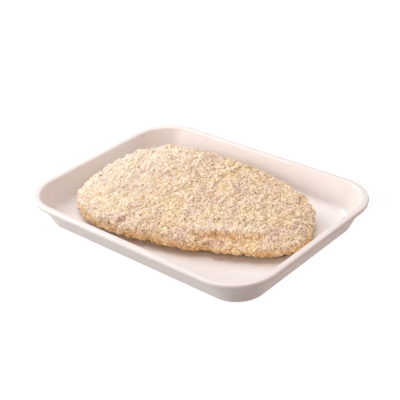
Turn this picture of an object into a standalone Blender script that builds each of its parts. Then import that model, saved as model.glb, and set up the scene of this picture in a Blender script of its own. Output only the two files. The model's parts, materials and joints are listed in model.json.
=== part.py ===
"""An uncooked breaded schnitzel lying in its white moulded tray.

Two solids: the tray, one thin shell with a rolled-out lip, and the schnitzel, one flat
piece of meat in its crumb coat. X runs along the tray, Y across it and Z up. The origin
is the middle of the tray's base.
"""

import math

import bmesh
import bpy

MM = 0.001

# The tray. Insets are measured inwards from the lip's outer edge.
TRAY_LENGTH = 220 * MM
TRAY_WIDTH = 163 * MM
TRAY_HEIGHT = 23 * MM
CORNER_RADIUS = 34 * MM
LIP_THICKNESS = 3.4 * MM
LIP_EDGE_RADIUS = 1.65 * MM
LIP_OVERHANG = 4.2 * MM
BASE_INSET = 13.5 * MM
BASE_EDGE_RADIUS = 3 * MM
WALL_THICKNESS = 2.6 * MM
FLOOR_THICKNESS = 3 * MM
FLOOR_FILLET_RADIUS = 7 * MM
RIM_EDGE_RADIUS = 2.2 * MM
UNDER_LIP_RADIUS = 0.8 * MM
CORNER_STEPS = 10

# The schnitzel, in its own frame: its long way is turned a little from the tray's.
RESTING_GAP = 0.3 * MM
MEAT_CENTRE_X = 15 * MM
MEAT_CENTRE_Y = 14 * MM
MEAT_TURN = math.radians(7.5)
MEAT_HALF_LENGTH = 89.5 * MM
MEAT_HALF_WIDTH = 57 * MM
MEAT_SQUARENESS = 3.1
MEAT_THICKNESS = 22 * MM
THINNING_ALONG_X = 0.0155
WIDEST_HEIGHT = 0.42
TOP_ROUNDING = 2.8
UNDERSIDE_ROUNDING = 5.0
# How the outline leaves an even oval: lobes around it, size as a share, direction.
OUTLINE_LOBES = (
    (1, 0.263, math.radians(-159)),
    (2, 0.032, math.radians(-13)),
    (3, 0.022, math.radians(-18)),
    (4, 0.025, math.radians(-14.5)),
    (5, 0.018, math.radians(-3)),
)
# A fold along the front side: the top overhangs a groove that climbs towards the
# thin end, and the side bulges below it.
FOLD_DIRECTION = math.radians(-50)
FOLD_HALF_ANGLE = math.radians(32)
FOLD_HEIGHT = 15.2 * MM
FOLD_CLIMB = 4.5 * MM
FOLD_HALF_HEIGHT = 2.3 * MM
FOLD_DEPTH = 3.4 * MM
BULGE_BELOW_FOLD = 6.5 * MM
BULGE_HALF_HEIGHT = 4 * MM
BULGE_DEPTH = 1.1 * MM
# Shallow hollows pressed into the top: place, half sizes, turn and depth.
HOLLOWS = (
    (13 * MM, 2 * MM, 24 * MM, 11 * MM, math.radians(35), 1.1 * MM),
    (-17 * MM, -43 * MM, 15 * MM, 6 * MM, math.radians(73), 1.4 * MM),
    (-52 * MM, 22 * MM, 22 * MM, 14 * MM, math.radians(75), 0.8 * MM),
    (50 * MM, 34 * MM, 20 * MM, 9 * MM, math.radians(-30), 0.7 * MM),
)
# Slow unevenness of the whole piece.
WAVE_LENGTH = 46 * MM
WAVE_HEIGHT = 0.5 * MM
AROUND_STEPS = 96
TOP_RINGS = 18
UNDERSIDE_RINGS = 11


def clear_scene():
    for thing in list(bpy.data.objects):
        bpy.data.objects.remove(thing, do_unlink=True)


def make_material(name, colour, roughness):
    material = bpy.data.materials.new(name)
    material.use_nodes = True
    shader = material.node_tree.nodes["Principled BSDF"]
    shader.inputs["Base Color"].default_value = (*colour, 1)
    shader.inputs["Roughness"].default_value = roughness
    shader.inputs["Metallic"].default_value = 0
    return material


def make_object(name, rings, first_cap, last_cap, material):
    """Skins a list of rings into one closed solid.

    A cap is None for a flat face over its end ring, or the point that the ring fans to.
    """
    mesh = bmesh.new()
    loops = [[mesh.verts.new(point) for point in ring] for ring in rings]
    for lower, upper in zip(loops, loops[1:]):
        for i, corner in enumerate(lower):
            j = (i + 1) % len(lower)
            mesh.faces.new((corner, lower[j], upper[j], upper[i]))
    for loop, cap in ((loops[0], first_cap), (loops[-1], last_cap)):
        if cap is None:
            mesh.faces.new(loop)
            continue
        pole = mesh.verts.new(cap)
        for i, corner in enumerate(loop):
            mesh.faces.new((corner, loop[(i + 1) % len(loop)], pole))
    bmesh.ops.recalc_face_normals(mesh, faces=mesh.faces)
    data = bpy.data.meshes.new(name)
    mesh.to_mesh(data)
    mesh.free()
    data.materials.append(material)
    data.shade_smooth()
    data.set_sharp_from_angle(angle=math.radians(50))
    thing = bpy.data.objects.new(name, data)
    bpy.context.collection.objects.link(thing)
    return thing


def rounded_path(corners):
    """Points along an open path whose inner corners are arcs.

    Each corner is (inset, height, radius, steps). The two ends only give directions.
    """
    points = []
    for before, corner, after in zip(corners, corners[1:], corners[2:]):
        x, z, radius, steps = corner
        to_before = math.atan2(before[1] - z, before[0] - x)
        to_after = math.atan2(after[1] - z, after[0] - x)
        opening = (to_after - to_before + math.pi) % (2 * math.pi) - math.pi
        bisector = to_before + opening / 2
        reach = radius / math.sin(abs(opening) / 2)
        centre_x = x + reach * math.cos(bisector)
        centre_z = z + reach * math.sin(bisector)
        sweep = (math.pi - abs(opening)) * (1 if opening < 0 else -1)
        middle = bisector + math.pi
        for step in range(steps + 1):
            angle = middle + sweep * (step / steps - 0.5)
            points.append(
                (centre_x + radius * math.cos(angle), centre_z + radius * math.sin(angle))
            )
    return points


def tray_ring(inset, height):
    """A rounded rectangle, with corner arcs that share their centres at every inset."""
    radius = CORNER_RADIUS - inset
    points = []
    for quarter, (side_x, side_y) in enumerate(((1, 1), (-1, 1), (-1, -1), (1, -1))):
        centre_x = side_x * (TRAY_LENGTH / 2 - CORNER_RADIUS)
        centre_y = side_y * (TRAY_WIDTH / 2 - CORNER_RADIUS)
        for step in range(CORNER_STEPS + 1):
            angle = (quarter + step / CORNER_STEPS) * math.pi / 2
            x = centre_x + radius * math.cos(angle)
            y = centre_y + radius * math.sin(angle)
            points.append((x, y, height))
    return points


def build_tray():
    """One shell of even thickness: flat floor, sloping walls and a rounded lip."""
    under_lip = TRAY_HEIGHT - LIP_THICKNESS
    slope = (BASE_INSET - LIP_OVERHANG) / under_lip
    wall_across = WALL_THICKNESS * math.hypot(1, slope)
    inner_inset_at_zero = BASE_INSET + wall_across
    rim_inset = inner_inset_at_zero - slope * TRAY_HEIGHT
    floor_inset = inner_inset_at_zero - slope * FLOOR_THICKNESS
    middle = TRAY_WIDTH / 4
    profile = rounded_path(
        (
            (middle, 0, 0, 0),
            (BASE_INSET, 0, BASE_EDGE_RADIUS, 4),
            (LIP_OVERHANG, under_lip, UNDER_LIP_RADIUS, 2),
            (0, under_lip, LIP_EDGE_RADIUS, 4),
            (0, TRAY_HEIGHT, LIP_EDGE_RADIUS, 4),
            (rim_inset, TRAY_HEIGHT, RIM_EDGE_RADIUS, 4),
            (floor_inset, FLOOR_THICKNESS, FLOOR_FILLET_RADIUS, 6),
            (middle, FLOOR_THICKNESS, 0, 0),
        )
    )
    rings = [tray_ring(inset, height) for inset, height in profile]
    white = make_material("tray_plastic", (0.86, 0.83, 0.82), 0.35)
    return make_object("tray", rings, None, None, white)


def outline_radius(angle):
    """How far the schnitzel reaches from its middle, at its widest height."""
    long_way = abs(math.cos(angle)) / MEAT_HALF_LENGTH
    short_way = abs(math.sin(angle)) / MEAT_HALF_WIDTH
    oval = (long_way**MEAT_SQUARENESS + short_way**MEAT_SQUARENESS) ** (-1 / MEAT_SQUARENESS)
    lobes = sum(
        size * math.cos(count * (angle - direction))
        for count, size, direction in OUTLINE_LOBES
    )
    return oval * (1 + lobes)


def hollow_depth(x, y):
    """How much the hollows and the slow waves lower the top at a place in the tray."""
    depth = WAVE_HEIGHT * math.sin(2 * math.pi * x / WAVE_LENGTH)
    depth *= math.cos(2 * math.pi * (y + 0.4 * x) / WAVE_LENGTH)
    for centre_x, centre_y, half_long, half_wide, turn, most in HOLLOWS:
        away_x = x - centre_x
        away_y = y - centre_y
        along = away_x * math.cos(turn) + away_y * math.sin(turn)
        across = away_y * math.cos(turn) - away_x * math.sin(turn)
        depth += most * math.exp(-((along / half_long) ** 2) - (across / half_wide) ** 2)
    return depth


def fold_depth(angle, height):
    """How far the front fold goes in, at a direction and a height above the underside."""
    away = (angle - FOLD_DIRECTION + math.pi) % (2 * math.pi) - math.pi
    if abs(away) > FOLD_HALF_ANGLE:
        return 0
    above_groove = height - FOLD_HEIGHT - FOLD_CLIMB * away
    above_bulge = above_groove + BULGE_BELOW_FOLD
    groove = FOLD_DEPTH * math.exp(-((above_groove / FOLD_HALF_HEIGHT) ** 2))
    bulge = BULGE_DEPTH * math.exp(-((above_bulge / BULGE_HALF_HEIGHT) ** 2))
    return (groove - bulge) * math.cos(math.pi / 2 * away / FOLD_HALF_ANGLE) ** 2


def meat_point(angle, share, level):
    """A point of the skin.

    share is how far out it lies, from 0 in the middle to 1 at the outline. level is its
    height as a share of the local thickness.
    """
    outline = outline_radius(angle)
    own_x = share * outline * math.cos(angle)
    own_y = share * outline * math.sin(angle)
    thickness = MEAT_THICKNESS - THINNING_ALONG_X * own_x
    height = level * thickness
    inwards = fold_depth(angle, height) * share**4 / outline
    own_x *= 1 - inwards
    own_y *= 1 - inwards
    x = MEAT_CENTRE_X + own_x * math.cos(MEAT_TURN) - own_y * math.sin(MEAT_TURN)
    y = MEAT_CENTRE_Y + own_x * math.sin(MEAT_TURN) + own_y * math.cos(MEAT_TURN)
    on_top = max(0, (level - WIDEST_HEIGHT) / (1 - WIDEST_HEIGHT))
    z = FLOOR_THICKNESS + RESTING_GAP + height - on_top * hollow_depth(x, y)
    return x, y, z


def meat_ring(share, level):
    return [
        meat_point(2 * math.pi * step / AROUND_STEPS, share, level)
        for step in range(AROUND_STEPS)
    ]


def build_schnitzel():
    """One flat cutlet: a flat underside, a steep side and a slightly domed top."""
    rings = []
    for step in range(1, UNDERSIDE_RINGS):
        lean = math.pi / 2 * step / UNDERSIDE_RINGS
        share = math.sin(lean) ** (2 / UNDERSIDE_ROUNDING)
        rise = 1 - math.cos(lean) ** (2 / UNDERSIDE_ROUNDING)
        rings.append(meat_ring(share, WIDEST_HEIGHT * rise))
    for step in range(TOP_RINGS):
        lean = math.pi / 2 * (1 - step / TOP_RINGS)
        share = math.sin(lean) ** (2 / TOP_ROUNDING)
        rise = math.cos(lean) ** (2 / TOP_ROUNDING)
        rings.append(meat_ring(share, WIDEST_HEIGHT + (1 - WIDEST_HEIGHT) * rise))
    crumbs = make_material("crumb_coat", (0.80, 0.60, 0.38), 0.9)
    return make_object("schnitzel", rings, meat_point(0, 0, 0), meat_point(0, 0, 1), crumbs)


clear_scene()
build_tray()
build_schnitzel()
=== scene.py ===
import json
import math

import bmesh
import bpy
from mathutils import Matrix, Vector, noise

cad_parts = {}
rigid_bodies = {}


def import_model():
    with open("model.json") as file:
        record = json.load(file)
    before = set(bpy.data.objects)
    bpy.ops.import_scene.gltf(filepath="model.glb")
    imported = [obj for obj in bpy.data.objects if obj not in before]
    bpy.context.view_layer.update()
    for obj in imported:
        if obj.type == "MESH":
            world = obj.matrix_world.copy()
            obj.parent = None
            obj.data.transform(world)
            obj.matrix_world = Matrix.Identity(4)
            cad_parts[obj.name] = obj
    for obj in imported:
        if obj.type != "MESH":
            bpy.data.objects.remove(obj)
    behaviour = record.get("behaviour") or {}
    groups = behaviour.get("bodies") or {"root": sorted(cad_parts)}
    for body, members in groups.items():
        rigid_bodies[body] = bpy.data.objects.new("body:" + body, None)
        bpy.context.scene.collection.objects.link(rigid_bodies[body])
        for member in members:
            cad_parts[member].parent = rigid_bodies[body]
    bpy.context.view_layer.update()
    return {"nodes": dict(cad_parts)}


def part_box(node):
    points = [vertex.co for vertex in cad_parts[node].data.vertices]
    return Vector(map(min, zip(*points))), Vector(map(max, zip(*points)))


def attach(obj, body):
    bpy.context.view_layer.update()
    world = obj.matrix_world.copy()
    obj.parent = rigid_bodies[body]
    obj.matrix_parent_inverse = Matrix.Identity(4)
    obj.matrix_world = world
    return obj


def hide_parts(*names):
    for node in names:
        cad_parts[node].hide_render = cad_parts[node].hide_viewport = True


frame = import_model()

# ---------------------------------------------------------------------------
# Camera: a short telephoto lens that looks down on the tray from one corner,
# held a few degrees off level. Distances are in half tray lengths.
# ---------------------------------------------------------------------------
tray_low, tray_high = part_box("tray")
half_length = (tray_high.x - tray_low.x) / 2
azimuth = math.radians(43.4)
elevation = math.radians(29.7)
tilt = math.radians(-4.2)
distance = 6.90 * half_length
target = Vector((-0.178 * half_length, 0.2115 * half_length, 0))

backwards = Vector(
    (
        math.sin(azimuth) * math.cos(elevation),
        -math.cos(azimuth) * math.cos(elevation),
        math.sin(elevation),
    )
)
level = Vector((math.cos(azimuth), math.sin(azimuth), 0))
upwards = backwards.cross(level)
right = level * math.cos(tilt) + upwards * math.sin(tilt)
up = upwards * math.cos(tilt) - level * math.sin(tilt)
turn = Matrix((right, up, backwards)).transposed().to_4x4()
bpy.ops.object.camera_add()
camera = bpy.context.object
camera.name = "camera"
camera.matrix_world = Matrix.Translation(target + backwards * distance) @ turn
camera.data.sensor_width = 36
camera.data.lens = 89.3
camera.data.clip_start = 0.01
bpy.context.scene.camera = camera
bpy.context.scene.view_settings.view_transform = "Standard"

# ---------------------------------------------------------------------------
# Floor and light: a plain white table in a light tent. A wide softbox hangs
# overhead, a smaller one stands beyond the tray's -X end, and two reflectors fill
# in, one from the -Y side and a warm one beyond the +X end.
# ---------------------------------------------------------------------------
mm = 0.001


def linear(colour):
    """A colour given as sRGB hex, as the linear values that a shader takes."""
    channels = [int(colour[i : i + 2], 16) / 255 for i in (0, 2, 4)]
    return [
        c / 12.92 if c <= 0.04045 else ((c + 0.055) / 1.055) ** 2.4 for c in channels
    ] + [1.0]


def add_node(tree, kind, settings=(), inputs=(), stops=()):
    """Adds one node, with its settings and links.

    An input is a value, or another node's output to link. The stops are a colour
    ramp's, each a position and an sRGB hex colour.
    """
    node = tree.nodes.new(kind)
    for name, value in dict(settings).items():
        setattr(node, name, value)
    for name, value in dict(inputs).items():
        if isinstance(value, bpy.types.NodeSocket):
            tree.links.new(value, node.inputs[name])
        else:
            node.inputs[name].default_value = value
    if stops:
        elements = node.color_ramp.elements
        while len(elements) < len(stops):
            elements.new(0.5)
        for element, (position, colour) in zip(elements, stops):
            element.position = position
            element.color = linear(colour)
    return node


def new_material(name):
    """An empty Principled material, as (material, tree, shader)."""
    material = bpy.data.materials.new(name)
    material.use_nodes = True
    tree = material.node_tree
    return material, tree, tree.nodes["Principled BSDF"]


bpy.ops.object.select_all(action="DESELECT")
bpy.ops.mesh.primitive_plane_add(size=6, location=(0, 0, -0.2 * mm))
floor = bpy.context.object
floor.name = "floor"

# Matt white laminate. It glows so that it looks pure white, but it isn't seen by the
# tray's and cutlet's diffuse light, so only their gloss picks it up.
floor_paint, _, floor_shader = new_material("white_table_top")
floor_shader.inputs["Base Color"].default_value = linear("FAFAFA")
floor_shader.inputs["Roughness"].default_value = 0.9
floor_shader.inputs["Emission Color"].default_value = (1, 1, 1, 1)
floor_shader.inputs["Emission Strength"].default_value = 0.8
floor.visible_diffuse = False
floor.data.materials.append(floor_paint)


def add_softbox(name, place, size, power, colour):
    """A square area light that faces the tray's middle, in metres and watts."""
    bpy.ops.object.light_add(type="AREA", location=place)
    light = bpy.context.object
    light.name = name
    light.rotation_euler = Vector(place).to_track_quat("Z", "Y").to_euler()
    light.data.size = size
    light.data.energy = power
    light.data.color = linear(colour)[:3]


add_softbox("overhead_softbox", (-0.2, 0.1, 1.5), 0.8, 11.6, "FFFFFF")
add_softbox("end_softbox", (-0.95, 0.05, 0.75), 0.4, 5.6, "FFFFFF")
add_softbox("side_reflector", (-0.4, -1.1, 0.35), 0.8, 7.2, "FFF2E8")
add_softbox("warm_reflector", (0.9, 0.1, 0.3), 0.5, 1.2, "FFA868")

# The tent glows evenly down to the table's height, and less and less below it. The
# height is that of a direction's tip, from -1 straight down to 1 straight up.
tent_glow = 0.285
glow_from_below = 0.12
dimmest_height = -0.7

world = bpy.data.worlds.new("light_tent")
bpy.context.scene.world = world
world.use_nodes = True
tent = world.node_tree.nodes["Background"]
tent.inputs["Color"].default_value = linear("FFF4F0")
direction = add_node(world.node_tree, "ShaderNodeTexCoord").outputs["Generated"]
tip_height = add_node(
    world.node_tree, "ShaderNodeSeparateXYZ", inputs={0: direction}
).outputs["Z"]
glow = add_node(
    world.node_tree,
    "ShaderNodeMapRange",
    inputs={
        "Value": tip_height,
        "From Min": dimmest_height,
        "From Max": 0.0,
        "To Min": glow_from_below,
        "To Max": tent_glow,
    },
)
world.node_tree.links.new(glow.outputs["Result"], tent.inputs["Strength"])

# ---------------------------------------------------------------------------
# The tray: one shell of white plastic, its walls 2.6 mm thick, pressed to shape so
# that its lip stands outwards and all its edges are soft. The cutlet lies in it.
# ---------------------------------------------------------------------------
corner_radius = 34 * mm
lip_thickness = 3.4 * mm
lip_overhang = 4.2 * mm
lip_edge_radius = 1.65 * mm
rim_edge_radius = 2.2 * mm
under_lip_radius = 0.8 * mm
base_inset = 13.5 * mm
base_edge_radius = 3 * mm
wall_thickness = 2.6 * mm
floor_thickness = 3 * mm
floor_fillet_radius = 7 * mm
nearly_level = 0.999
tolerance = 0.01 * mm

tray_height = tray_high.z - tray_low.z
under_lip = tray_height - lip_thickness
wall_slope = (base_inset - lip_overhang) / under_lip
wall_across = wall_thickness * math.hypot(1, wall_slope)
rim_inset = base_inset + wall_across - wall_slope * tray_height
floor_inset = base_inset + wall_across - wall_slope * floor_thickness
wall_turn = math.atan2(1, wall_slope)

bpy.ops.object.select_all(action="DESELECT")
bpy.ops.mesh.primitive_plane_add(size=1, location=(0, 0, tray_height))
tray = bpy.context.object
tray.name = "white_tray"
tray.scale = (tray_high.x - tray_low.x, tray_high.y - tray_low.y, 1)
bpy.ops.object.transform_apply(location=True, rotation=True, scale=True)
bpy.ops.object.mode_set(mode="EDIT")
bpy.ops.mesh.select_all(action="SELECT")
bpy.ops.mesh.bevel(offset=corner_radius, offset_type="OFFSET", segments=24, affect="VERTICES")
bpy.ops.mesh.select_all(action="SELECT")
bpy.ops.mesh.extrude_region_move(TRANSFORM_OT_translate={"value": (0, 0, -lip_thickness)})


def select_flat_face(thing, height):
    """Selects the flat face at a height, in edit mode."""
    bpy.ops.mesh.select_all(action="DESELECT")
    shape = bmesh.from_edit_mesh(thing.data)
    for face in shape.faces:
        flat = abs(face.normal.z) > nearly_level
        if flat and abs(face.calc_center_median().z - height) < tolerance:
            face.select_set(True)
    bmesh.update_edit_mesh(thing.data)


bpy.ops.mesh.select_all(action="SELECT")
bpy.ops.mesh.normals_make_consistent(inside=False)
select_flat_face(tray, under_lip)
bpy.ops.mesh.inset(thickness=lip_overhang, depth=0)
bpy.ops.mesh.inset(thickness=base_inset - lip_overhang, depth=under_lip)
select_flat_face(tray, tray_height)
bpy.ops.mesh.inset(thickness=rim_inset, depth=0)
wall_drop = tray_height - floor_thickness
bpy.ops.mesh.inset(thickness=floor_inset - rim_inset, depth=-wall_drop)


def round_ring(thing, inset, height, radius, turning, segments):
    """Rounds the ring of edges that runs round the tray at an inset and a height."""
    bpy.ops.mesh.select_all(action="DESELECT")
    shape = bmesh.from_edit_mesh(thing.data)
    side = Vector((0, tray_high.y - inset, height))
    for edge in shape.edges:
        middle = (edge.verts[0].co + edge.verts[1].co) / 2
        if (middle - side).length < tolerance:
            edge.select_set(True)
    bmesh.update_edit_mesh(thing.data)
    bpy.ops.mesh.loop_multi_select(ring=False)
    bpy.ops.mesh.bevel(
        offset=radius * math.tan(turning / 2),
        offset_type="OFFSET",
        segments=segments,
        affect="EDGES",
    )


bpy.ops.mesh.select_mode(type="EDGE")
round_ring(tray, base_inset, 0, base_edge_radius, wall_turn, segments=6)
round_ring(tray, floor_inset, floor_thickness, floor_fillet_radius, wall_turn, segments=10)
round_ring(tray, lip_overhang, under_lip, under_lip_radius, wall_turn, segments=3)
round_ring(tray, rim_inset, tray_height, rim_edge_radius, wall_turn, segments=7)
round_ring(tray, 0, under_lip, lip_edge_radius, math.pi / 2, segments=6)
round_ring(tray, 0, tray_height, lip_edge_radius, math.pi / 2, segments=6)
bpy.ops.object.mode_set(mode="OBJECT")
bpy.ops.object.shade_smooth_by_angle(angle=math.radians(40))

# Moulded polystyrene: satin, almost white with a faint warm tint, the gloss broken up by
# slow waves and the fine grain of the mould. Such grain is typically about 0.2 mm, too
# fine to show, so it is drawn at 0.67 mm.
wave_length = 17 * mm
grain_size = 0.67 * mm
tray_plastic, tree, shader = new_material("moulded_polystyrene")
place = add_node(tree, "ShaderNodeTexCoord").outputs["Object"]
waves = add_node(
    tree, "ShaderNodeTexNoise", inputs={"Vector": place, "Scale": 1 / wave_length, "Detail": 2}
)
tint = add_node(
    tree,
    "ShaderNodeMix",
    {"data_type": "RGBA"},
    {"Factor": waves.outputs["Fac"], "A": linear("F3EEED"), "B": linear("EFE8E7")},
)
gloss = add_node(
    tree,
    "ShaderNodeMapRange",
    inputs={"Value": waves.outputs["Fac"], "To Min": 0.28, "To Max": 0.40},
)
grain = add_node(
    tree, "ShaderNodeTexNoise", inputs={"Vector": place, "Scale": 1 / grain_size, "Detail": 2}
)
wave_bump = add_node(
    tree,
    "ShaderNodeBump",
    inputs={"Height": waves.outputs["Fac"], "Strength": 0.3, "Distance": 0.3 * mm},
)
grain_bump = add_node(
    tree,
    "ShaderNodeBump",
    inputs={
        "Height": grain.outputs["Fac"],
        "Strength": 0.15,
        "Distance": 0.05 * mm,
        "Normal": wave_bump.outputs["Normal"],
    },
)
tree.links.new(tint.outputs["Result"], shader.inputs["Base Color"])
tree.links.new(gloss.outputs["Result"], shader.inputs["Roughness"])
tree.links.new(grain_bump.outputs["Normal"], shader.inputs["Normal"])
shader.inputs["IOR"].default_value = 1.55
tray.data.materials.append(tray_plastic)
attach(tray, "root")
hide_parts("tray")

# ---------------------------------------------------------------------------
# The cutlet under its crumbs: raw meat in flour and egg, with the finest crumbs
# pressed into it. Its skin lies a little inside the CAD solid, which is the
# outside of the whole coat.
# ---------------------------------------------------------------------------
meat_low, meat_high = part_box("schnitzel")
coat_depth = 0.9 * mm
skin_grid = 0.85 * mm

bpy.ops.object.select_all(action="DESELECT")
cutlet = bpy.data.objects.new("coated_cutlet", frame["nodes"]["schnitzel"].data.copy())
cutlet.data.materials.clear()
bpy.context.collection.objects.link(cutlet)
bpy.context.view_layer.objects.active = cutlet
cutlet.select_set(True)
bpy.ops.object.mode_set(mode="EDIT")
bpy.ops.mesh.select_all(action="SELECT")
bpy.ops.mesh.remove_doubles(threshold=tolerance)
bpy.ops.object.mode_set(mode="OBJECT")


def finish_with(thing, kind, **settings):
    """Adds one modifier and applies it."""
    bpy.context.view_layer.objects.active = thing
    modifier = thing.modifiers.new(kind.lower(), kind)
    for name, value in settings.items():
        setattr(modifier, name, value)
    bpy.ops.object.modifier_apply(modifier=modifier.name)


finish_with(cutlet, "REMESH", mode="VOXEL", voxel_size=skin_grid)
finish_with(cutlet, "SMOOTH", factor=0.5, iterations=6)

# The coat is full on the top and the sides and fades out under the edge, so that the
# underside stays flat on the tray.
coated = cutlet.vertex_groups.new(name="coated")
fade_from = meat_low.z + 0.2 * mm
fade_over = 2.2 * mm
fade_levels = 8
by_level = {}
for vertex in cutlet.data.vertices:
    fullness = min(1, max(0, (vertex.co.z - fade_from) / fade_over))
    by_level.setdefault(round(fullness * fade_levels), []).append(vertex.index)
for fade_level, members in by_level.items():
    coated.add(members, fade_level / fade_levels, "REPLACE")


def lump_texture(name, kind, size):
    """A procedural texture of lumps of a size, for a Displace modifier."""
    texture = bpy.data.textures.new(name, kind)
    texture.noise_scale = size
    return texture


# The fold along the front side: the top ends in a lip, then comes a groove, and the
# ledge in front of it lies lower. All three fade out where the fold runs into the side.
# The middles of groove and lip are in their own half widths off the fold's line.
fold_start = Vector((35 * mm, -34 * mm, 0))
fold_end = Vector((67 * mm, -15 * mm, 0))
fold_fade = 9 * mm
ledge_drop = 1.5 * mm
groove_depth = 2.0 * mm
groove_half_width = 1.6 * mm
groove_middle = 0.8
lip_rise = 1.2 * mm
lip_half_width = 3.0 * mm
lip_middle = -1.1
side_height = 9 * mm
side_blend = 5 * mm
# Painted shade: the ledge and the groove under the lip are painted warmer and darker.
ledge_shade = 0.22
groove_shade = 0.3

fold_length = (fold_end - fold_start).length
along_fold = (fold_end - fold_start) / fold_length
off_fold = Vector((along_fold.y, -along_fold.x, 0))


def smooth_step(value):
    """0 below 0 and 1 above 1, with a soft rise between."""
    share = min(1, max(0, value))
    return share * share * (3 - 2 * share)


def fold_shape(point):
    """How far the fold lowers the skin at a point, its painted shade in the groove and on the
    ledge, and its painted highlight on the lip.
    """
    along = (point - fold_start).dot(along_fold)
    off = (point - fold_start).dot(off_fold)
    fade = smooth_step((along + fold_fade) / fold_fade)
    fade *= smooth_step((fold_length + fold_fade - along) / fold_fade)
    fade *= smooth_step((point.z - side_height) / side_blend)
    ledge = smooth_step(off / groove_half_width + 0.5)
    groove = math.exp(-((off / groove_half_width - groove_middle) ** 2))
    lip = math.exp(-((off / lip_half_width - lip_middle) ** 2))
    drop = ledge_drop * ledge + groove_depth * groove - lip_rise * lip
    shade = ledge_shade * ledge + groove_shade * groove
    return fade * drop, fade * shade, fade * lip


# Creases pressed into the top: where each starts and ends, its half width and depth.
creases = (
    ((-25 * mm, -56 * mm), (-15 * mm, -26 * mm), 2.2 * mm, 1.5 * mm),
    ((-14 * mm, 17 * mm), (4 * mm, 10 * mm), 4.0 * mm, 1.2 * mm),
    ((10 * mm, 4 * mm), (26 * mm, -2 * mm), 2.5 * mm, 1.6 * mm),
    ((4 * mm, 58 * mm), (30 * mm, 50 * mm), 3.5 * mm, 1.3 * mm),
    ((74 * mm, 20 * mm), (84 * mm, 25 * mm), 2.5 * mm, 1.3 * mm),
    ((-4 * mm, -40 * mm), (2 * mm, -36 * mm), 3.0 * mm, 1.2 * mm),
)


def crease_depth(point):
    """How far the creases lower the skin at a point."""
    depth = 0
    for start, end, half_width, most in creases:
        start = Vector((*start, point.z))
        way = Vector((*end, point.z)) - start
        share = min(1, max(0, (point - start).dot(way) / way.length_squared))
        distance = (point - start - way * share).length
        depth += most * math.exp(-((distance / half_width) ** 2))
    return depth


# The lower edge is rounded in, so that the side overhangs the tray a little. Creases
# press only into what faces upwards.
undercut_height = 3.0 * mm
undercut_depth = 0.4 * mm
crease_facing = 2

# The coat is painted warmer and darker on the steep skin, most low on the sides, in uneven
# spots: painted shade of the sides, partly their moist egg coat. It starts where the normal's z
# falls below steep_below, and is full steep_over further down. It is paler towards the thick
# end, and paler still along the fold's lip, there a painted highlight.
damp_and_shade_height = 12 * mm
least_damp_and_shade = 0.3
steep_below = 0.75
steep_over = 0.9
spot_size = 7 * mm
spot_contrast = 0.5

middle = (meat_low + meat_high) / 2
half_size = (meat_high - meat_low) / 2
pressed, damp_and_shade_shares, paling_and_highlight_shares = [], [], []
for vertex in cutlet.data.vertices:
    point = vertex.co
    normal = vertex.normal
    drop, fold_shade, lip_highlight = fold_shape(point)
    drop += smooth_step(normal.z * crease_facing) * crease_depth(point)
    low = smooth_step(1 - (point.z - meat_low.z) / undercut_height)
    inwards = normal * (undercut_depth * low * (1 - abs(normal.z)))
    pressed.extend(point - inwards - Vector((0, 0, drop)))
    # Painted shade: warmer, darker coat on steep and low skin and in the fold, partly moist
    # coat.
    side = smooth_step((steep_below - normal.z) / steep_over)
    low_damp_and_shade = smooth_step(1 - (point.z - meat_low.z) / damp_and_shade_height)
    side_damp_and_shade = side * (least_damp_and_shade + (1 - least_damp_and_shade) * low_damp_and_shade)
    spots = 1 + spot_contrast * noise.noise(point / spot_size)
    damp_and_shade_shares.append(min(1, max(0, spots * (side_damp_and_shade + fold_shade))))
    # Paler towards the thick end; the fold's lip gets a painted highlight.
    paler_end = smooth_step((middle.x - point.x) / half_size.x)
    paling_and_highlight_shares.append(min(1, paler_end + lip_highlight))
cutlet.data.vertices.foreach_set("co", pressed)
for name, shares in (("damp_and_shade", damp_and_shade_shares), ("paling_and_lip_highlight", paling_and_highlight_shares)):
    attribute = cutlet.data.attributes.new(name, "FLOAT", "POINT")
    attribute.data.foreach_set("value", shares)
cutlet.data.update()

# The coat's own lumps: name, kind, size across, strength and the level that stays put.
# A negative strength makes the middles of the crumb beds stand out.
lumps = (
    ("dents", "CLOUDS", 15 * mm, 3.6 * mm, 0.61),
    ("clumps", "CLOUDS", 5.5 * mm, 4.3 * mm, 0.58),
    ("crumb_beds", "VORONOI", 3.0 * mm, -1.6 * mm, 0.30),
)
finish_with(cutlet, "DISPLACE", strength=-coat_depth, mid_level=0, vertex_group="coated")
for name, kind, size, strength, still_level in lumps:
    finish_with(
        cutlet,
        "DISPLACE",
        texture=lump_texture(name, kind, size),
        texture_coords="LOCAL",
        strength=strength,
        mid_level=still_level,
        vertex_group="coated",
    )
cutlet.vertex_groups.clear()
bpy.ops.object.shade_smooth()

# Flour, egg and crumb dust: dry and matt, cream where the crumbs lie thick and rosy
# where the meat shows through. Such dust is typically about 0.2 mm, too fine to show,
# so it is drawn at 0.8 mm.
patch_size = 14 * mm
dust_size = 0.8 * mm


def add_patches(tree):
    """Object coordinates, and slow patches of the coat's colour on them, 0 to 1."""
    place = add_node(tree, "ShaderNodeTexCoord").outputs["Object"]
    return place, add_node(
        tree,
        "ShaderNodeTexNoise",
        inputs={"Vector": place, "Scale": 1 / patch_size, "Detail": 4, "Roughness": 0.6},
    ).outputs["Fac"]


# Tints: painted shade on the sides, partly moist coat; pale end and painted lip highlight.
damp_and_shade_tint = "FFE2AE"
paling_and_highlight_tint = "FFFAF2"


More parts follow.
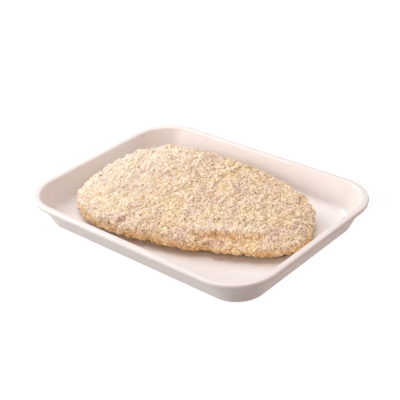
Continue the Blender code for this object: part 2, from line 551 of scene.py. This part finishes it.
def tint_coat(tree, colour, paling=0.42):
    """Painted shade on the steep sides and in the fold, partly moist coat; paler at the
    thick end, and a painted highlight on the fold's lip.
    """
    paling_and_highlight_share = add_node(
        tree, "ShaderNodeAttribute", {"attribute_name": "paling_and_lip_highlight"}
    ).outputs["Fac"]
    some_paling = add_node(
        tree, "ShaderNodeMath", {"operation": "MULTIPLY"}, {0: paling_and_highlight_share, 1: paling}
    ).outputs[0]
    paler = add_node(
        tree,
        "ShaderNodeMix",
        {"data_type": "RGBA"},
        {"Factor": some_paling, "A": colour, "B": linear(paling_and_highlight_tint)},
    ).outputs["Result"]
    damp_and_shade_share = add_node(
        tree, "ShaderNodeAttribute", {"attribute_name": "damp_and_shade"}
    ).outputs["Fac"]
    warmer = add_node(
        tree,
        "ShaderNodeMix",
        {"data_type": "RGBA", "blend_type": "MULTIPLY"},
        {"Factor": damp_and_shade_share, "A": paler, "B": linear(damp_and_shade_tint)},
    )
    return warmer.outputs["Result"]


base_coat, tree, shader = new_material("flour_and_crumb_dust")
place, patches = add_patches(tree)
patch_colours = add_node(
    tree,
    "ShaderNodeValToRGB",
    inputs={"Fac": patches},
    stops=((0.30, "CEB1A2"), (0.45, "D4B898"), (0.60, "D8BC90"), (0.75, "D4B898")),
)
coat_colour = tint_coat(tree, patch_colours.outputs["Color"])
dust = add_node(
    tree, "ShaderNodeTexNoise", inputs={"Vector": place, "Scale": 1 / dust_size, "Detail": 3}
)
bump = add_node(
    tree,
    "ShaderNodeBump",
    inputs={"Height": dust.outputs["Fac"], "Strength": 0.8, "Distance": 0.4 * mm},
)
tree.links.new(coat_colour, shader.inputs["Base Color"])
tree.links.new(bump.outputs["Normal"], shader.inputs["Normal"])
shader.inputs["Roughness"].default_value = 0.85
shader.inputs["Specular IOR Level"].default_value = 0.25
cutlet.data.materials.append(base_coat)
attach(cutlet, "root")
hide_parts("schnitzel")

# ---------------------------------------------------------------------------
# The crumbs: dried white bread, ground and sieved, pressed on by hand. Each kind
# is one piece, and lies partly sunk in the coat, or loose on top of it.
# ---------------------------------------------------------------------------
# Each next shape is narrower by sideways_step. Crumbs are only placed where the skin is
# higher than the cutlet's underside by floor_gap and downward_share of the largest size.
# They lean by up to most_lean radians, and tries_per_spot places are tried for each
# square of the spacing.
sideways_step = 0.1
downward_share = 0.45
depth_spread = 0.15 * mm
floor_gap = 0.1 * mm
most_lean = 0.5
tries_per_spot = 4


def make_crumb_shapes(name, count, roundness, kept_faces, flatness, seed):
    """A few different broken crumbs, one unit across, to be copied by the scatter.

    Each is narrower than the one before, and keeps a share of the ball's faces.
    """
    shapes = bpy.data.collections.new(name)
    bpy.context.scene.collection.children.link(shapes)
    for number in range(count):
        bpy.ops.object.select_all(action="DESELECT")
        bpy.ops.mesh.primitive_ico_sphere_add(subdivisions=roundness, radius=0.5)
        crumb = bpy.context.object
        bpy.ops.object.mode_set(mode="EDIT")
        bpy.ops.mesh.select_all(action="SELECT")
        bpy.ops.transform.vertex_random(offset=0.16, uniform=0.3, seed=seed + number)
        bpy.ops.transform.resize(value=(1, 1 - sideways_step * number, flatness))
        bpy.ops.object.mode_set(mode="OBJECT")
        finish_with(crumb, "DECIMATE", ratio=kept_faces)
        for home in list(crumb.users_collection):
            home.objects.unlink(crumb)
        shapes.objects.link(crumb)
    return shapes


def scatter_crumbs(name, shapes, spacing, smallest, largest, sunk, seed):
    """One piece of crumbs strewn over the cutlet's top and sides.

    spacing is the least distance between two crumbs, and sunk is how far their middles
    lie under the skin. So many places are tried that mostly the spacing sets the number.
    """
    lowest_middle = meat_low.z + downward_share * largest + floor_gap
    bpy.ops.object.select_all(action="DESELECT")
    piece = bpy.data.objects.new(name, cutlet.data.copy())
    piece.data.materials.clear()
    bpy.context.collection.objects.link(piece)
    tree = bpy.data.node_groups.new(name, "GeometryNodeTree")
    tree.interface.new_socket("Geometry", in_out="INPUT", socket_type="NodeSocketGeometry")
    tree.interface.new_socket("Geometry", in_out="OUTPUT", socket_type="NodeSocketGeometry")
    skin = add_node(tree, "NodeGroupInput").outputs[0]
    where = add_node(tree, "GeometryNodeInputPosition").outputs[0]
    height = add_node(tree, "ShaderNodeSeparateXYZ", inputs={0: where}).outputs["Z"]
    above_floor = add_node(
        tree,
        "FunctionNodeCompare",
        {"operation": "GREATER_THAN"},
        {"A": height, "B": lowest_middle},
    ).outputs["Result"]
    spread = add_node(
        tree,
        "GeometryNodeDistributePointsOnFaces",
        {"distribute_method": "POISSON"},
        {
            "Mesh": skin,
            "Selection": above_floor,
            "Distance Min": spacing,
            "Density Max": tries_per_spot / spacing**2,
            "Seed": seed,
        },
    )
    amount = add_node(
        tree,
        "FunctionNodeRandomValue",
        {"data_type": "FLOAT"},
        {"Min": -sunk - depth_spread, "Max": -sunk + depth_spread, "Seed": seed + 1},
    )
    outwards = add_node(
        tree,
        "ShaderNodeVectorMath",
        {"operation": "SCALE"},
        {0: spread.outputs["Normal"], "Scale": amount.outputs["Value"]},
    )
    placed = add_node(
        tree,
        "GeometryNodeSetPosition",
        inputs={"Geometry": spread.outputs["Points"], "Offset": outwards.outputs[0]},
    )
    kinds = add_node(
        tree,
        "GeometryNodeCollectionInfo",
        inputs={"Collection": shapes, "Separate Children": True, "Reset Children": True},
    )
    turned = add_node(
        tree,
        "FunctionNodeRandomValue",
        {"data_type": "FLOAT_VECTOR"},
        {
            "Min": (-most_lean, -most_lean, 0),
            "Max": (most_lean, most_lean, 2 * math.pi),
            "Seed": seed + 2,
        },
    )
    leaning = add_node(
        tree,
        "FunctionNodeRotateEuler",
        {"rotation_type": "EULER", "space": "LOCAL"},
        {"Rotation": spread.outputs["Rotation"], "Rotate By": turned.outputs["Value"]},
    )
    size = add_node(
        tree,
        "FunctionNodeRandomValue",
        {"data_type": "FLOAT"},
        {"Min": 0, "Max": 1, "Seed": seed + 3},
    )
    mostly_small = add_node(
        tree,
        "ShaderNodeMath",
        {"operation": "POWER"},
        {0: size.outputs["Value"], 1: 2.0},
    )
    sizes = add_node(
        tree,
        "ShaderNodeMapRange",
        inputs={"Value": mostly_small.outputs[0], "To Min": smallest, "To Max": largest},
    )
    strewn = add_node(
        tree,
        "GeometryNodeInstanceOnPoints",
        inputs={
            "Points": placed.outputs["Geometry"],
            "Instance": kinds.outputs[0],
            "Pick Instance": True,
            "Rotation": leaning.outputs[0],
            "Scale": sizes.outputs["Result"],
        },
    )
    tone = add_node(
        tree,
        "FunctionNodeRandomValue",
        {"data_type": "FLOAT"},
        {"Min": 0, "Max": 1, "Seed": seed + 4},
    )
    toned = add_node(
        tree,
        "GeometryNodeStoreNamedAttribute",
        {"data_type": "FLOAT", "domain": "INSTANCE"},
        {"Geometry": strewn.outputs[0], "Name": "tone", "Value": tone.outputs["Value"]},
    )
    real = add_node(tree, "GeometryNodeRealizeInstances", inputs={0: toned.outputs[0]})
    add_node(tree, "NodeGroupOutput", inputs={0: real.outputs[0]})
    finish_with(piece, "NODES", node_group=tree)
    return piece


# Dry crumb is matt and porous, and it takes a little of its patch's tint.
patch_tints = ((0.30, "F4E8E8"), (0.45, "FCF6EF"), (0.60, "FFFAE8"), (0.75, "FFFAF0"))
pore_size = 0.35 * mm


def crumb_material(name, stops, roughness, paling=0.42):
    """Dry bread crumb: each crumb has its own shade, and the coat's patches tint it."""
    material, tree, shader = new_material(name)
    place, patches = add_patches(tree)
    tone = add_node(tree, "ShaderNodeAttribute", {"attribute_name": "tone"}).outputs["Fac"]
    own = add_node(
        tree, "ShaderNodeValToRGB", inputs={"Fac": tone}, stops=stops
    ).outputs["Color"]
    patch_colour = add_node(
        tree, "ShaderNodeValToRGB", inputs={"Fac": patches}, stops=patch_tints
    ).outputs["Color"]
    colour = add_node(
        tree,
        "ShaderNodeMix",
        {"data_type": "RGBA", "blend_type": "MULTIPLY"},
        {"Factor": 1.0, "A": own, "B": patch_colour},
    )
    pores = add_node(
        tree, "ShaderNodeTexNoise", inputs={"Vector": place, "Scale": 1 / pore_size}
    )
    bump = add_node(
        tree,
        "ShaderNodeBump",
        inputs={"Height": pores.outputs["Fac"], "Strength": 0.5, "Distance": 0.15 * mm},
    )
    # The crumbs take the coat's painted shade, its paler end and the lip's painted highlight
    # too.
    tinted = tint_coat(tree, colour.outputs["Result"], paling)
    tree.links.new(tinted, shader.inputs["Base Color"])
    tree.links.new(bump.outputs["Normal"], shader.inputs["Normal"])
    shader.inputs["Roughness"].default_value = roughness
    shader.inputs["Specular IOR Level"].default_value = 0.25
    return material


def finish_crumbs(piece, material):
    """Gives a kind of crumb its material and lets it ride with the tray."""
    piece.data.materials.clear()
    piece.data.materials.append(material)
    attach(piece, "root")


chunks = make_crumb_shapes(
    "chunks", count=4, roundness=2, kept_faces=0.6, flatness=0.6, seed=11
)
grains = make_crumb_shapes(
    "grains", count=6, roundness=1, kept_faces=1.0, flatness=0.65, seed=31
)

# Broken lumps of white crumb, the largest that come through the sieve.
coarse = scatter_crumbs(
    "coarse_crumbs",
    chunks,
    spacing=3.4 * mm,
    smallest=2.0 * mm,
    largest=3.8 * mm,
    sunk=0.3 * mm,
    seed=100,
)
finish_crumbs(
    coarse,
    crumb_material("coarse_dry_crumb", ((0.0, "F4E6D4"), (1.0, "FDF4E8")), 0.85),
)

# The bulk of the coat: pale, angular grains.
pale = scatter_crumbs(
    "pale_crumbs",
    grains,
    spacing=1.6 * mm,
    smallest=2.2 * mm,
    largest=3.4 * mm,
    sunk=0.1 * mm,
    seed=200,
)
finish_crumbs(
    pale,
    crumb_material("pale_dry_crumb", ((0.0, "F2E4D2"), (0.5, "F8ECDD"), (1.0, "FDF5EB")), 0.85),
)

# Fine crumbs, raised a little so that they show between the larger ones.
fine = scatter_crumbs(
    "fine_crumbs",
    grains,
    spacing=1.5 * mm,
    smallest=0.7 * mm,
    largest=1.6 * mm,
    sunk=-0.2 * mm,
    seed=300,
)
finish_crumbs(
    fine,
    crumb_material("fine_dry_crumb", ((0.0, "EEDFCA"), (0.5, "F6EAD8"), (1.0, "FCF3E7")), 0.9),
)

# Crumbs from the loaf's crust, toasted golden when the bread was baked.
golden = scatter_crumbs(
    "golden_crumbs",
    grains,
    spacing=4.2 * mm,
    smallest=1.0 * mm,
    largest=2.4 * mm,
    sunk=0.0,
    seed=400,
)
finish_crumbs(
    golden,
    crumb_material(
        "golden_crust_crumb", ((0.0, "E8C98E"), (0.5, "F0D8A2"), (1.0, "F5E2B2")), 0.8
    ),
)

# A few bits of the darkest crust, raised to show, which take hardly any of the pale tint.
specks = scatter_crumbs(
    "dark_specks",
    grains,
    spacing=14 * mm,
    smallest=1.0 * mm,
    largest=2.2 * mm,
    sunk=-0.6 * mm,
    seed=500,
)
finish_crumbs(
    specks,
    crumb_material(
        "dark_crust_crumb", ((0.0, "7A6446"), (0.5, "947E5C"), (1.0, "AA9674")), 0.8, paling=0.1
    ),
)

# The single shapes have been copied, and go.
for shapes in (chunks, grains):
    for crumb in list(shapes.objects):
        bpy.data.objects.remove(crumb, do_unlink=True)
    bpy.data.collections.remove(shapes)
